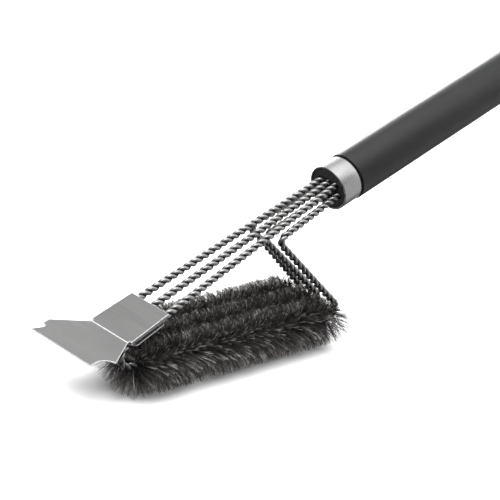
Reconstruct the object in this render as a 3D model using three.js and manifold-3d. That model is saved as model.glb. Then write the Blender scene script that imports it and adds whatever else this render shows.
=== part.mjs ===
// A grill cleaning brush. Three twisted-wire loops carry the bristles: each leaves the handle as an
// upper stem, passes through the scraper's clamp, turns back as a brush core, climbs as a strut and
// returns to the handle as a lower run. Millimetres. +X runs from the scraper to the handle, +Z is up,
// and the bristles stand on Z = 0. The head is laid out with X = 0 and Y = 0 under the handle's nose.

import * as THREE from "three";
import { mergeVertices } from "three/addons/utils/BufferGeometryUtils.js";
import Module from "manifold-3d";

const wasm = await Module();
wasm.setup();

// ---- Driving dimensions ----------------------------------------------------------------------
const GAP = 0.3; // air between pieces that touch
const HANDLE_TILT = THREE.MathUtils.degToRad(20.1); // handle axis above the floor
const NOSE_HEIGHT = 103.5; // centre of the nose face above the floor

// Wires
const WIRE_RADIUS = 2.4;
const WIRE_SIDES = 8;
const BEND_STEPS = 7;
const SIDES = { near: -1, middle: 0, far: 1 };
const STEM_EXIT = { y: 5.8, z: 4.2 }; // where an outer stem leaves the nose, about the handle axis
const RUN_EXIT = { y: 8.0, z: -2.4 }; // where an outer lower run enters the nose
const MIDDLE_RUN_Z = -4.2;
const STEM_DROP = THREE.MathUtils.degToRad(2.7); // stems below the handle axis
const STEM_FAN = 0.042; // sideways travel of an outer stem per millimetre of its length
const WIRE_END = 40; // depth of the wire ends inside the handle

// Brush cores and bristles
const BRISTLE_RADIUS = 20.5;
const BRISTLE_TOP = 10; // the bristles reach less far above their core than below it
const CORE_SPACING = 16.5;
const CORE_REAR = 11.2;
const BRISTLE_FRONTS = { near: -172, middle: -166, far: -154 };
const BRISTLE_REAR = 9.5;
const BRISTLE_FACETS = 20;
const REAR_BEND_RADIUS = 3.4;
const STRUT_TOP = { x: -55.6, y: 12.6, z: 80.4 }; // where an outer strut's line meets its run's line
const MIDDLE_STRUT_TOP_Z = 77.6;
const STRUT_TOP_RADIUS = 3.6;

// Scraper, in the plane of the stems
const SHEET = 0.9;
const CREASE_AT = -191; // along the handle axis from the nose
const CLAMP_LENGTH = 33.4;
const CREASE_HALF = 15.6;
const FLANGE_DROP = 1.4;
const BLADE_LENGTH = 32.5;
const BLADE_LIFT = THREE.MathUtils.degToRad(11); // blade above the clamp's plane
const BLADE_HALF = 33.0;
const NOTCH = { x: -28.4, y: -27.2, radius: 8.7 }; // round notch that fits over a grill rod

// Handle, along its own axis from the nose face
const COLLAR_RADIUS = 15.25;
const COLLAR_LENGTH = 15.2;
const COLLAR_WALL = 1.2;
const GASKET_LENGTH = 0.9;
const GRIP_RADIUS = 15.85;
const GRIP_WALL = 1.8;
const GRIP_END = 207;
const REAR_COLLAR_LENGTH = 8;
const TUBE_RADIUS = 13.7;
const TUBE_WALL = 1.2;
const TUBE_START = 2.6;
const BLOCK_START = 20;
const BLOCK_END = 56;
const PIN_RADIUS = 1.5;
const CAP_PLUG_LENGTH = 22;
const CAP_FLANGE = 4;
const LUG_HALF = 2.6;
const EYE_DISTANCE = 14; // ring's pivot behind the cap's flange

// Hanging ring
const RING_RADIUS = 14;
const RING_WIRE = 1.5;
const EYELET_RADIUS = 3.1;
const EYELET_BORE = 2.2;

// ---- Materials -------------------------------------------------------------------------------
const metal = (color, roughness) => new THREE.MeshStandardMaterial({ color, roughness, metalness: 1 });
const plastic = (color, roughness) => new THREE.MeshStandardMaterial({ color, roughness, metalness: 0 });
const LOOKS = {
  wire: () => metal(0xb8b8b8, 0.25),
  bristle: () => metal(0x4a4644, 0.5),
  sheet: () => metal(0xa8a8a6, 0.4),
  collar: () => metal(0xc4c4c4, 0.3),
  hidden: () => metal(0x9a9a98, 0.5),
  grip: () => plastic(0x26272a, 0.5),
  trim: () => plastic(0x111112, 0.6),
};

// ---- Solids ----------------------------------------------------------------------------------
function toSolid(geometry) {
  const bare = geometry.clone();
  bare.deleteAttribute("normal");
  bare.deleteAttribute("uv");
  const merged = mergeVertices(bare, 1e-4);
  return new wasm.Manifold(
    new wasm.Mesh({
      numProp: 3,
      vertProperties: merged.attributes.position.array,
      triVerts: new Uint32Array(merged.index.array),
    }),
  );
}

function toGeometry(solid) {
  const mesh = solid.getMesh();
  const geometry = new THREE.BufferGeometry();
  geometry.setAttribute("position", new THREE.BufferAttribute(mesh.vertProperties, 3));
  geometry.setIndex(new THREE.BufferAttribute(mesh.triVerts, 1));
  return geometry;
}

const cut = (base, ...tools) =>
  toGeometry(tools.reduce((solid, tool) => solid.subtract(toSolid(tool)), toSolid(base)));

const join = (...pieces) => toGeometry(pieces.map(toSolid).reduce((sum, piece) => sum.add(piece)));

// A turned piece about the X axis. The profile lists [x, radius] so that metal lies on its left.
function turned(profile, segments = 32) {
  const points = profile.map(([x, radius]) => new THREE.Vector2(radius, x));
  return new THREE.LatheGeometry(points, segments).rotateZ(-Math.PI / 2);
}

// A plain sleeve about the X axis, with a small chamfer on its outer edges.
function sleeve(start, end, outer, inner, chamfer = 0.4) {
  return turned([
    [start, inner],
    [start, outer - chamfer],
    [start + chamfer, outer],
    [end - chamfer, outer],
    [end, outer - chamfer],
    [end, inner],
    [start, inner],
  ]);
}

// A rod from x = start to x = end about the X axis, moved to (y, z).
function rod(start, end, radius, y = 0, z = 0, segments = 16) {
  const geometry = new THREE.CylinderGeometry(radius, radius, end - start, segments);
  return geometry.rotateZ(-Math.PI / 2).translate((start + end) / 2, y, z);
}

// A rod across the handle, along Y or Z, at distance x.
function crossRod(x, low, high, radius, along, segments = 16) {
  const geometry = new THREE.CylinderGeometry(radius, radius, high - low, segments);
  const middle = (low + high) / 2;
  return along === "y"
    ? geometry.translate(x, middle, 0)
    : geometry.rotateX(Math.PI / 2).translate(x, 0, middle);
}

// A flat sheet from a plan outline of [x, y] points, its underside at z = bottom.
function flatSheet(outline, bottom, thickness) {
  const shape = new THREE.Shape(outline.map(([x, y]) => new THREE.Vector2(x, y)));
  const options = { depth: thickness, bevelEnabled: false };
  return new THREE.ExtrudeGeometry(shape, options).translate(0, 0, bottom);
}

function place(group, name, geometry, look) {
  const mesh = new THREE.Mesh(geometry, LOOKS[look]());
  mesh.name = name;
  group.add(mesh);
  return mesh;
}

// ---- Wire route ------------------------------------------------------------------------------
// A point given along, across and above the handle axis, in the head's layout.
function fromHandle(x, y, z) {
  const cos = Math.cos(HANDLE_TILT);
  const sin = Math.sin(HANDLE_TILT);
  return new THREE.Vector3(x * cos - z * sin, y, NOSE_HEIGHT + x * sin + z * cos);
}

const stemPoint = (side, x) =>
  fromHandle(x, side * (STEM_EXIT.y - x * STEM_FAN), STEM_EXIT.z + x * Math.tan(STEM_DROP));

// Points of a round bend that blends the corner at b between the lines a-b and b-c.
function bend(a, b, c, radius) {
  const into = b.clone().sub(a).normalize();
  const out = c.clone().sub(b).normalize();
  const turn = into.angleTo(out);
  const reach = radius * Math.tan(turn / 2);
  const start = b.clone().addScaledVector(into, -reach);
  const inward = out.clone().addScaledVector(into, -into.dot(out)).normalize();
  const centre = start.clone().addScaledVector(inward, radius);
  return Array.from({ length: BEND_STEPS + 1 }, (_, i) => {
    const angle = (turn * i) / BEND_STEPS;
    return centre
      .clone()
      .addScaledVector(inward, -radius * Math.cos(angle))
      .addScaledVector(into, radius * Math.sin(angle));
  });
}

// Half-turn from the stem's end at the crease down onto the core's line.
function frontTurn(crease, side) {
  const slope = HANDLE_TILT + STEM_DROP;
  const radius = (crease.z - BRISTLE_RADIUS) / (1 + Math.cos(slope));
  return Array.from({ length: 2 * BEND_STEPS + 1 }, (_, i) => {
    const share = i / (2 * BEND_STEPS);
    const heading = Math.PI + slope + (Math.PI - slope) * share;
    const x = crease.x + radius * (Math.sin(heading) + Math.sin(slope));
    const z = crease.z - radius * (Math.cos(heading) + Math.cos(slope));
    return new THREE.Vector3(x, THREE.MathUtils.lerp(crease.y, side * CORE_SPACING, share), z);
  });
}

function strutTop(side) {
  return new THREE.Vector3(STRUT_TOP.x, side * STRUT_TOP.y, side ? STRUT_TOP.z : MIDDLE_STRUT_TOP_Z);
}

// The bend from a core into its strut. It starts at CORE_REAR, whichever way the strut leans.
function rearBend(side) {
  const corePoint = (x) => new THREE.Vector3(x, side * CORE_SPACING, BRISTLE_RADIUS);
  const rise = strutTop(side).z - BRISTLE_RADIUS;
  let cornerX = CORE_REAR;
  for (let pass = 0; pass < 20; pass++) {
    const turn = Math.PI - Math.atan2(rise, cornerX - STRUT_TOP.x);
    cornerX = CORE_REAR + REAR_BEND_RADIUS * Math.tan(turn / 2);
  }
  return bend(corePoint(0), corePoint(cornerX), strutTop(side), REAR_BEND_RADIUS);
}

function wireRoute(side) {
  const runZ = side ? RUN_EXIT.z : MIDDLE_RUN_Z;
  const runEntry = fromHandle(-1, side * RUN_EXIT.y, runZ);
  const rear = rearBend(side);
  return [
    fromHandle(WIRE_END, side * STEM_EXIT.y, STEM_EXIT.z),
    fromHandle(1, side * STEM_EXIT.y, STEM_EXIT.z),
    stemPoint(side, -1),
    stemPoint(side, CREASE_AT + CLAMP_LENGTH),
    ...frontTurn(stemPoint(side, CREASE_AT), side),
    new THREE.Vector3(CREASE_AT / 2, side * CORE_SPACING, BRISTLE_RADIUS),
    ...rear,
    ...bend(rear.at(-1), strutTop(side), runEntry, STRUT_TOP_RADIUS),
    runEntry,
    fromHandle(1, side * RUN_EXIT.y, runZ),
    fromHandle(WIRE_END, side * RUN_EXIT.y, runZ),
  ];
}

// A route whose sweep steps fall on its own stations: close in the bends, wide on the straights.
class StationCurve extends THREE.Curve {
  constructor(stations) {
    super();
    this.stations = stations;
  }
  getPointAt(u) {
    return this.stations[Math.round(u * (this.stations.length - 1))].clone();
  }
  getTangentAt(u) {
    const last = this.stations.length - 1;
    const i = Math.round(u * last);
    const here = this.stations[i];
    const before = i > 0 ? here.clone().sub(this.stations[i - 1]).normalize() : new THREE.Vector3();
    const after = i < last ? this.stations[i + 1].clone().sub(here).normalize() : new THREE.Vector3();
    return before.add(after).normalize();
  }
}

function roundWire(stations) {
  const section = new THREE.Shape(
    Array.from({ length: WIRE_SIDES }, (_, i) => {
      const angle = (2 * Math.PI * i) / WIRE_SIDES;
      return new THREE.Vector2(WIRE_RADIUS * Math.cos(angle), WIRE_RADIUS * Math.sin(angle));
    }),
  );
  const extrudePath = new StationCurve(stations);
  return new THREE.ExtrudeGeometry(section, { steps: stations.length - 1, extrudePath });
}

// ---- Head ------------------------------------------------------------------------------------
// The clamp's frame: origin on the crease, under the top sheet, +X up the stems, +Z off the sheet.
function clampFrame() {
  const frame = new THREE.Group();
  const slope = HANDLE_TILT + STEM_DROP;
  const lift = WIRE_RADIUS + GAP;
  const crease = stemPoint(0, CREASE_AT);
  frame.position.set(crease.x - lift * Math.sin(slope), 0, crease.z + lift * Math.cos(slope));
  frame.rotation.y = -slope;
  return frame;
}

// Half-width of the space taken by the wires at distance x behind the crease.
const wireHalf = (x) => STEM_EXIT.y - (CREASE_AT + x) * STEM_FAN + WIRE_RADIUS;

// The notch's outline from the blade's front edge round to its near side.
function notchEdge() {
  const start = Math.acos((-BLADE_LENGTH - NOTCH.x) / NOTCH.radius);
  const end = THREE.MathUtils.degToRad(3);
  return Array.from({ length: 8 }, (_, i) => {
    const angle = THREE.MathUtils.lerp(start, end, i / 7);
    return [NOTCH.x + NOTCH.radius * Math.cos(angle), NOTCH.y + NOTCH.radius * Math.sin(angle)];
  });
}

function scraper() {
  const shoulder = 1.6;
  const rearHalf = wireHalf(CLAMP_LENGTH) + GAP + SHEET;
  const frontHalf = wireHalf(shoulder) + GAP + SHEET;
  const clamp = flatSheet(
    [
      [-0.05, -CREASE_HALF],
      [shoulder, -CREASE_HALF],
      [shoulder, -frontHalf],
      [CLAMP_LENGTH, -rearHalf],
      [CLAMP_LENGTH, rearHalf],
      [shoulder, frontHalf],
      [shoulder, CREASE_HALF],
      [-0.05, CREASE_HALF],
    ],
    0,
    SHEET,
  );
  const flanges = [-1, 1].map((side) => {
    const corners = [
      [shoulder, side * frontHalf],
      [CLAMP_LENGTH, side * rearHalf],
      [CLAMP_LENGTH, side * (rearHalf - SHEET)],
      [shoulder, side * (frontHalf - SHEET)],
    ];
    return flatSheet(side < 0 ? corners : corners.reverse(), -FLANGE_DROP, FLANGE_DROP + SHEET / 2);
  });
  // The blade flares to its front edge. The far side carries a small rod hook behind the tip, and the
  // near corner is cut away by the round notch.
  const hook = { flare: 17.8, neck: 22.4, root: 24.2, depth: 3.4 };
  const blade = flatSheet(
    [
      [0.05, -CREASE_HALF],
      [0.05, CREASE_HALF],
      [-hook.flare, BLADE_HALF + 0.6],
      [-hook.neck, BLADE_HALF + 0.2],
      [-hook.neck - 1, BLADE_HALF - 1],
      [-hook.root, BLADE_HALF - hook.depth],
      [-hook.root - 1.8, BLADE_HALF - hook.depth],
      [-BLADE_LENGTH, BLADE_HALF],
      ...notchEdge(),
    ],
    0,
    SHEET,
  ).rotateY(BLADE_LIFT);
  return join(clamp, ...flanges, blade);
}

function backPlate() {
  const start = 5;
  const end = CLAMP_LENGTH - 2;
  const top = -2 * WIRE_RADIUS - 2 * GAP;
  const corner = 2;
  return flatSheet(
    [
      [start, -wireHalf(start) + corner],
      [start + corner, -wireHalf(start)],
      [end - corner, -wireHalf(end)],
      [end, -wireHalf(end) + corner],
      [end, wireHalf(end) - corner],
      [end - corner, wireHalf(end)],
      [start + corner, wireHalf(start)],
      [start, wireHalf(start) - corner],
    ],
    top - SHEET,
    SHEET,
  );
}

// The outline of one brush, running along X: round below its core and flatter above it.
function bristleBody(front) {
  const facet = Math.PI / BRISTLE_FACETS;
  const radius = BRISTLE_RADIUS / Math.cos(facet);
  const body = rod(front, BRISTLE_REAR, radius, 0, 0, BRISTLE_FACETS).rotateX(facet);
  const points = body.attributes.position;
  for (let i = 0; i < points.count; i++) {
    const z = points.getZ(i);
    if (z > 0) points.setZ(i, (z * BRISTLE_TOP) / BRISTLE_RADIUS);
  }
  return body;
}

// One brush: bristles trimmed to their outline, shared with the neighbours half-way between the
// cores, and cut back under the clamp.
function bristlePack(side, front, clamp) {
  const length = BRISTLE_REAR - front;
  const middle = (front + BRISTLE_REAR) / 2;
  const y = side * CORE_SPACING;
  const body = bristleBody(front).translate(0, y, BRISTLE_RADIUS);
  const bore = rod(front - 1, BRISTLE_REAR + 1, WIRE_RADIUS + 2 * GAP, y, BRISTLE_RADIUS);
  const border = CORE_SPACING / 2 - GAP / 2;
  const wide = 3 * BRISTLE_RADIUS;
  const slab = (low, high) =>
    new THREE.BoxGeometry(length + 2, high - low, 4 * BRISTLE_RADIUS).translate(
      middle,
      (low + high) / 2,
      BRISTLE_RADIUS,
    );
  const shares = [];
  if (side <= 0) shares.push(slab(y + border, y + border + wide));
  if (side >= 0) shares.push(slab(y - border - wide, y - border));
  const roof = new THREE.BoxGeometry(2 * CLAMP_LENGTH, 4 * BRISTLE_RADIUS, 2 * BRISTLE_RADIUS);
  const underside = -2 * WIRE_RADIUS - 3 * GAP - SHEET;
  roof.translate(CLAMP_LENGTH / 2, 0, underside + BRISTLE_RADIUS);
  clamp.updateMatrix();
  roof.applyMatrix4(clamp.matrix);
  return cut(body, bore, ...shares, roof, strutSlot(side));
}

// The slot that a strut takes up out of the bristles above its core's rear end.
function strutSlot(side) {
  const foot = rearBend(side).at(-1);
  const top = strutTop(side);
  const slope = Math.atan2(top.z - foot.z, foot.x - top.x);
  const height = 2 * BRISTLE_RADIUS;
  const slot = new THREE.BoxGeometry(4 * BRISTLE_RADIUS, 2 * WIRE_RADIUS + 8 * GAP, height);
  slot.translate(0, 0, height / 2 - WIRE_RADIUS - 2 * GAP).rotateY(slope);
  return slot.translate(foot.x, foot.y, foot.z);
}

// ---- Handle ----------------------------------------------------------------------------------
const wireExits = Object.values(SIDES).flatMap((side) => [
  { y: side * STEM_EXIT.y, z: STEM_EXIT.z },
  { y: side * RUN_EXIT.y, z: side ? RUN_EXIT.z : MIDDLE_RUN_Z },
]);

const wireBores = (start, end) =>
  wireExits.map(({ y, z }) => rod(start, end, WIRE_RADIUS + GAP, y, z));

function noseBushing() {
  const face = 0.5;
  const flange = COLLAR_RADIUS - COLLAR_WALL - GAP;
  const plug = TUBE_RADIUS - TUBE_WALL - GAP;
  const body = turned([
    [face, 0],
    [face, flange - 0.8],
    [face + 0.8, flange],
    [TUBE_START - GAP, flange],
    [TUBE_START - GAP, plug],
    [BLOCK_START - 4, plug],
    [BLOCK_START - 4, 0],
  ]);
  return cut(body, ...wireBores(-5, BLOCK_START));
}

const PIN_PLACES = [
  { name: "anchor_pin_front", x: WIRE_END + 4.5, along: "y" },
  { name: "anchor_pin_rear", x: WIRE_END + 11, along: "z" },
];

const pinReach = TUBE_RADIUS - 0.2;
const pinBores = () =>
  PIN_PLACES.map(({ x, along }) => crossRod(x, -20, 20, PIN_RADIUS + GAP, along));

function anchorBlock() {
  const radius = TUBE_RADIUS - TUBE_WALL - GAP;
  const body = turned([
    [BLOCK_START, 0],
    [BLOCK_START, radius - 1],
    [BLOCK_START + 1, radius],
    [BLOCK_END, radius],
    [BLOCK_END, 0],
  ]);
  return cut(body, ...wireBores(BLOCK_START - 1, WIRE_END + GAP), ...pinBores());
}

const rearCollarStart = GRIP_END + GAP;
const capFlangeStart = rearCollarStart + REAR_COLLAR_LENGTH + GAP;
const screwAt = rearCollarStart + REAR_COLLAR_LENGTH / 2;
const screwBore = () => crossRod(screwAt, -20, -4, PIN_RADIUS + GAP, "z");
const eyeAt = capFlangeStart + EYE_DISTANCE;

function innerTube() {
  const end = capFlangeStart - GAP;
  const tube = sleeve(TUBE_START, end, TUBE_RADIUS, TUBE_RADIUS - TUBE_WALL, 0.2);
  return cut(tube, ...pinBores(), screwBore());
}

function endCap() {
  const plug = TUBE_RADIUS - TUBE_WALL - GAP;
  const flange = GRIP_RADIUS - 0.4;
  const shoulder = capFlangeStart + CAP_FLANGE;
  const body = turned([
    [capFlangeStart - CAP_PLUG_LENGTH, 0],
    [capFlangeStart - CAP_PLUG_LENGTH, plug - 1],
    [capFlangeStart - CAP_PLUG_LENGTH + 1, plug],
    [capFlangeStart, plug],
    [capFlangeStart, flange],
    [shoulder - 2, flange],
    [shoulder - 0.6, flange - 1.4],
    [shoulder, flange - 4],
    [shoulder, 0],
  ]);
  const lugRadius = 6;
  const lugShape = new THREE.Shape();
  lugShape.moveTo(shoulder - 1, -lugRadius);
  lugShape.lineTo(eyeAt, -lugRadius);
  lugShape.absarc(eyeAt, 0, lugRadius, -Math.PI / 2, Math.PI / 2, false);
  lugShape.lineTo(shoulder - 1, lugRadius);
  const lug = new THREE.ExtrudeGeometry(lugShape, {
    depth: 2 * LUG_HALF,
    bevelEnabled: false,
    curveSegments: 10,
  });
  lug.translate(0, 0, -LUG_HALF).rotateX(Math.PI / 2);
  return cut(join(body, lug), screwBore(), crossRod(eyeAt, -9, 9, EYELET_RADIUS + GAP, "y", 24));
}

function capScrew() {
  const head = 2.8;
  const seat = COLLAR_RADIUS + GAP;
  const screw = turned(
    [
      [5, 0],
      [5, PIN_RADIUS],
      [seat, PIN_RADIUS],
      [seat, head],
      [seat + 0.9, head],
      [seat + 1.6, head - 1],
      [seat + 1.6, 0],
    ],
    16,
  );
  return screw.rotateY(Math.PI / 2).translate(screwAt, 0, 0);
}

function eyelet() {
  const ring = sleeve(-LUG_HALF, LUG_HALF, EYELET_RADIUS, EYELET_BORE, 0.2);
  return ring.rotateZ(Math.PI / 2).translate(eyeAt, 0, 0);
}

// ---- Assembly --------------------------------------------------------------------------------
const head = new THREE.Group();
for (const [name, side] of Object.entries(SIDES)) {
  place(head, "wire_" + name, roundWire(wireRoute(side)), "wire");
}
const clamp = clampFrame();
for (const [name, side] of Object.entries(SIDES)) {
  place(head, "bristles_" + name, bristlePack(side, BRISTLE_FRONTS[name], clamp), "bristle");
}
place(clamp, "scraper_blade", scraper(), "sheet");
place(clamp, "clamp_back_plate", backPlate(), "sheet");
head.add(clamp);

const handle = new THREE.Group();
handle.position.set(0, 0, NOSE_HEIGHT);
handle.rotation.y = -HANDLE_TILT;
const collarBore = COLLAR_RADIUS - COLLAR_WALL;
const gripStart = COLLAR_LENGTH + GASKET_LENGTH + 2 * GAP;
const gasketStart = COLLAR_LENGTH + GAP;
const gasket = sleeve(gasketStart, gasketStart + GASKET_LENGTH, COLLAR_RADIUS - 0.6, TUBE_RADIUS + GAP, 0.2);
const rearCollar = sleeve(rearCollarStart, rearCollarStart + REAR_COLLAR_LENGTH, COLLAR_RADIUS, collarBore);
place(handle, "front_collar", sleeve(0, COLLAR_LENGTH, COLLAR_RADIUS, collarBore), "collar");
place(handle, "collar_gasket", gasket, "trim");
place(handle, "nose_bushing", noseBushing(), "trim");
place(handle, "anchor_block", anchorBlock(), "trim");
for (const { name, x, along } of PIN_PLACES) {
  place(handle, name, crossRod(x, -pinReach, pinReach, PIN_RADIUS, along, 12), "hidden");
}
place(handle, "inner_tube", innerTube(), "hidden");
place(handle, "grip_shell", sleeve(gripStart, GRIP_END, GRIP_RADIUS, GRIP_RADIUS - GRIP_WALL, 0.8), "grip");
place(handle, "rear_collar", cut(rearCollar, screwBore()), "collar");
place(handle, "end_cap", endCap(), "trim");
place(handle, "end_cap_screw", capScrew(), "hidden");
place(handle, "ring_eyelet", eyelet(), "hidden");

const hanger = new THREE.Group();
hanger.position.copy(fromHandle(eyeAt, 0, 0));
const ring = new THREE.TorusGeometry(RING_RADIUS, RING_WIRE, 8, 36);
ring.rotateY(Math.PI / 2).translate(0, 0, -RING_RADIUS);
place(hanger, "hanging_ring", ring, "collar");

const brush = new THREE.Group();
brush.add(head, handle, hanger);

// The row's origin is on the floor, under the middle of the brush.
const box = new THREE.Box3().setFromObject(brush, true);
brush.position.set(-(box.min.x + box.max.x) / 2, 0, 0);

export default brush;
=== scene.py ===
"""Looks for a grill cleaning brush: twisted-wire loops, wire bristles, a sheet-steel scraper and a
round handle. Metres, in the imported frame: +X from the scraper to the handle, +Z up, tips on Z = 0."""

import math

import bmesh
import bpy
import numpy as np
from mathutils import Matrix, Vector


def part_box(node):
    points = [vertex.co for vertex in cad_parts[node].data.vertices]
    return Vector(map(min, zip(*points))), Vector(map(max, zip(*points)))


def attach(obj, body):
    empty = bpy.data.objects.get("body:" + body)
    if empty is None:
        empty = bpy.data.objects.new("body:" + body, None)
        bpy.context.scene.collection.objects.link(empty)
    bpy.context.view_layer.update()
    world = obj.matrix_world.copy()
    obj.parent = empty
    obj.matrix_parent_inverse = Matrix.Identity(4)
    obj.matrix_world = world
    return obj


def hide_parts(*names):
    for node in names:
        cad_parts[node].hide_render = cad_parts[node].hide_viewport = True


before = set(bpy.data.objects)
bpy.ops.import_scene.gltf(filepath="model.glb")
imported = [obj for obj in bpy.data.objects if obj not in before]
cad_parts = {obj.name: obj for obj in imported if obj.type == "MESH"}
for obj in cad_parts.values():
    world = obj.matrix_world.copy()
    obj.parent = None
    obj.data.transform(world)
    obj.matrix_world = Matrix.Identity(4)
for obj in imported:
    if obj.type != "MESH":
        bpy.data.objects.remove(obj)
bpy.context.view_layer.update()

MM = 0.001
SIDES = {"near": -1, "middle": 0, "far": 1}

# ---- Driving dimensions of the head, as in the CAD ---------------------------------------------
HANDLE_TILT = math.radians(20.1)
NOSE_HEIGHT = 103.5 * MM
GAP = 0.3 * MM
WIRE_RADIUS = 2.4 * MM
STEM_EXIT = (5.8 * MM, 4.2 * MM)  # across and above the handle axis
RUN_EXIT = (8.0 * MM, -2.4 * MM)
MIDDLE_RUN_Z = -4.2 * MM
STEM_DROP = math.radians(2.7)
STEM_FAN = 0.042
WIRE_END = 40 * MM
CORE_REAR = 11.2 * MM
REAR_BEND_RADIUS = 3.4 * MM
STRUT_TOP = Vector((-55.6, 12.6, 80.4)) * MM
MIDDLE_STRUT_TOP_Z = 77.6 * MM
STRUT_TOP_RADIUS = 3.6 * MM
CREASE_AT = -191 * MM
CLAMP_LENGTH = 33.4 * MM
SHEET = 0.9 * MM
BLADE_LIFT = math.radians(11)
BRISTLE_FRONTS = {"near": -172 * MM, "middle": -166 * MM, "far": -154 * MM}
NOTCH = (-28.4 * MM, -27.2 * MM, 8.7 * MM)  # x and y on the blade, and radius

# The head is laid out from the handle's nose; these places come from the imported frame.
bristle_low, bristle_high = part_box("bristles_middle")
NOSE_X = bristle_low.x - BRISTLE_FRONTS["middle"]
BRISTLE_RADIUS = 20.5 * MM
BRISTLE_TOP = bristle_high.z - BRISTLE_RADIUS
CORE_SPACING = -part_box("wire_near")[0].y - WIRE_RADIUS

# ---- Camera -------------------------------------------------------------------------------------
VIEW_AZIMUTH = math.radians(-51.75)
VIEW_ELEVATION = math.radians(21.67)
VIEW_ROLL = math.radians(12.38)
VIEW_DISTANCE = 1.277
NOSE_IN_VIEW = (0.05008, 0.03957)  # the handle's nose lies this far right of and above the view's middle
LENS = 143.28


def from_handle(x, y, z):
    """A point given along, across and above the handle axis, from the middle of the nose."""
    cos, sin = math.cos(HANDLE_TILT), math.sin(HANDLE_TILT)
    return Vector((NOSE_X + x * cos - z * sin, y, NOSE_HEIGHT + x * sin + z * cos))


def add_camera():
    turn = Matrix.Rotation(VIEW_AZIMUTH, 4, "Z")
    tilt = Matrix.Rotation(math.pi / 2 - VIEW_ELEVATION, 4, "X")
    facing = turn @ tilt @ Matrix.Rotation(VIEW_ROLL, 4, "Z")
    back_off = facing @ Vector((-NOSE_IN_VIEW[0], -NOSE_IN_VIEW[1], VIEW_DISTANCE))
    data = bpy.data.cameras.new("view_camera")
    data.lens = LENS
    data.sensor_width = 36
    data.clip_end = 50
    camera = bpy.data.objects.new("view_camera", data)
    camera.matrix_world = Matrix.Translation(from_handle(0, 0, 0) + back_off) @ facing
    bpy.context.scene.collection.objects.link(camera)
    bpy.context.scene.camera = camera


# ---- Mesh helpers -------------------------------------------------------------------------------
def new_object(name, mesh):
    piece = bpy.data.objects.new(name, mesh)
    bpy.context.scene.collection.objects.link(piece)
    return piece


def mesh_from(name, vertices, faces):
    mesh = bpy.data.meshes.new(name)
    mesh.from_pydata([tuple(v) for v in vertices], [], faces)
    mesh.validate()
    return mesh


def finish_piece(piece, materials, body, slot, *replaced):
    """Gives the piece its materials and its body, and hides the CAD nodes that it stands for. The slot is
    not used.
    """
    chosen = [min(face.material_index, len(materials) - 1) for face in piece.data.polygons]
    piece.data.materials.clear()
    for material in materials:
        piece.data.materials.append(material)
    piece.data.polygons.foreach_set("material_index", chosen)
    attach(piece, body)
    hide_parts(*replaced)
    return piece


def smooth(mesh, sharp_angle=35):
    mesh.shade_smooth()
    mesh.set_sharp_from_angle(angle=math.radians(sharp_angle))


def applied(piece):
    """Replaces the piece's mesh by what its modifiers make of it."""
    depsgraph = bpy.context.evaluated_depsgraph_get()
    made = bpy.data.meshes.new_from_object(piece.evaluated_get(depsgraph))
    piece.modifiers.clear()
    piece.data = made
    return piece


def combine(piece, others, operation):
    """Joins or cuts the piece by each of the other objects, which are then removed."""
    for other in others:
        step = piece.modifiers.new("combine", "BOOLEAN")
        step.operation = operation
        step.solver = "EXACT"
        step.object = other
    applied(piece)
    for other in others:
        bpy.data.objects.remove(other)
    return piece


def soften(piece, width, angle=30, segments=3, edge_material=-1):
    """Rounds every edge that turns by more than the angle."""
    work = bmesh.new()
    work.from_mesh(piece.data)
    flat = math.radians(0.5)
    bmesh.ops.dissolve_limit(work, angle_limit=flat, verts=work.verts, edges=work.edges)
    work.to_mesh(piece.data)
    work.free()
    bevel = piece.modifiers.new("soften", "BEVEL")
    bevel.width = width
    bevel.segments = segments
    bevel.limit_method = "ANGLE"
    bevel.angle_limit = math.radians(angle)
    bevel.material = edge_material
    bevel.use_clamp_overlap = True
    return applied(piece)


def rounded(corners, radius, steps=4, closed=True):
    """The outline with every corner turned into an arc of at most the radius."""
    points = []
    count = len(corners)
    for i, corner in enumerate(corners):
        here = Vector(corner)
        if not closed and i in (0, count - 1):
            points.append(here)
            continue
        before = Vector(corners[i - 1]) - here
        after = Vector(corners[(i + 1) % count]) - here
        reach = min(radius, before.length * 0.45, after.length * 0.45)
        start = here + before.normalized() * reach
        end = here + after.normalized() * reach
        for step in range(steps + 1):
            t = step / steps
            points.append(start * (1 - t) ** 2 + here * 2 * t * (1 - t) + end * t ** 2)
    return points


ON_HANDLE = Matrix.Translation(from_handle(0, 0, 0)) @ Matrix.Rotation(-HANDLE_TILT, 4, "Y")


def turned(name, profile, closed, segments=96, place=ON_HANDLE):
    """A piece turned about its own X axis from (x, radius) points. An open profile ends on the axis."""
    vertices, faces, rings = [], [], []
    for x, radius in profile:
        if radius < 1e-7:
            rings.append([len(vertices)] * segments)
            vertices.append(Vector((x, 0, 0)))
            continue
        rings.append(list(range(len(vertices), len(vertices) + segments)))
        for i in range(segments):
            angle = 2 * math.pi * i / segments
            vertices.append(Vector((x, radius * math.cos(angle), radius * math.sin(angle))))
    pairs = list(zip(rings, rings[1:])) + ([(rings[-1], rings[0])] if closed else [])
    for first, second in pairs:
        for i in range(segments):
            j = (i + 1) % segments
            loop = [first[i], first[j], second[j], second[i]]
            faces.append([v for k, v in enumerate(loop) if v != loop[k - 1]])
    piece = new_object(name, mesh_from(name, [place @ v for v in vertices], faces))
    face_outward(piece)
    return piece


def face_outward(piece):
    work = bmesh.new()
    work.from_mesh(piece.data)
    bmesh.ops.recalc_face_normals(work, faces=work.faces)
    work.to_mesh(piece.data)
    work.free()


def sleeve(name, start, end, outer, inner, radius=0.4 * MM):
    corners = [(start, inner), (start, outer), (end, outer), (end, inner)]
    piece = turned(name, rounded(corners, radius), True)
    smooth(piece.data)
    return piece


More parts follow.
